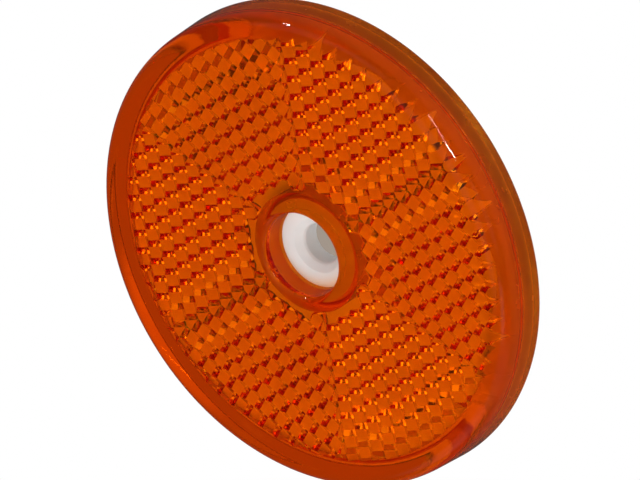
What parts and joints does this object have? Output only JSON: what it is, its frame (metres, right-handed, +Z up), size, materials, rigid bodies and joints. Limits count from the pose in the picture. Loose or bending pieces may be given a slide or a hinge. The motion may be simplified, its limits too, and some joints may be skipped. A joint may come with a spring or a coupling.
{
  "type": "screw-on reflex reflector",
  "caption": "Round amber reflex reflector disc with moulded corner-cube prisms, a sealed white back plate and a central screw hole.",
  "frame": {"origin": "on the axis at the back mounting face, where the face meets the wall", "axes": "-Y out of the lens front, +Y into the wall, +Z up"},
  "size_m": [0.06, 0.0067, 0.06],
  "materials": {
    "amber_lens": "polished clear amber",
    "white_plate": "satin moulded white",
    "weld_plastic": "fused, slightly rough"
  },
  "bodies": {
    "root": {"lens": "amber_lens", "back_plate": "white_plate", "outer_weld_bead": "weld_plastic", "inner_weld_bead": "weld_plastic"}
  },
  "joints": []
}
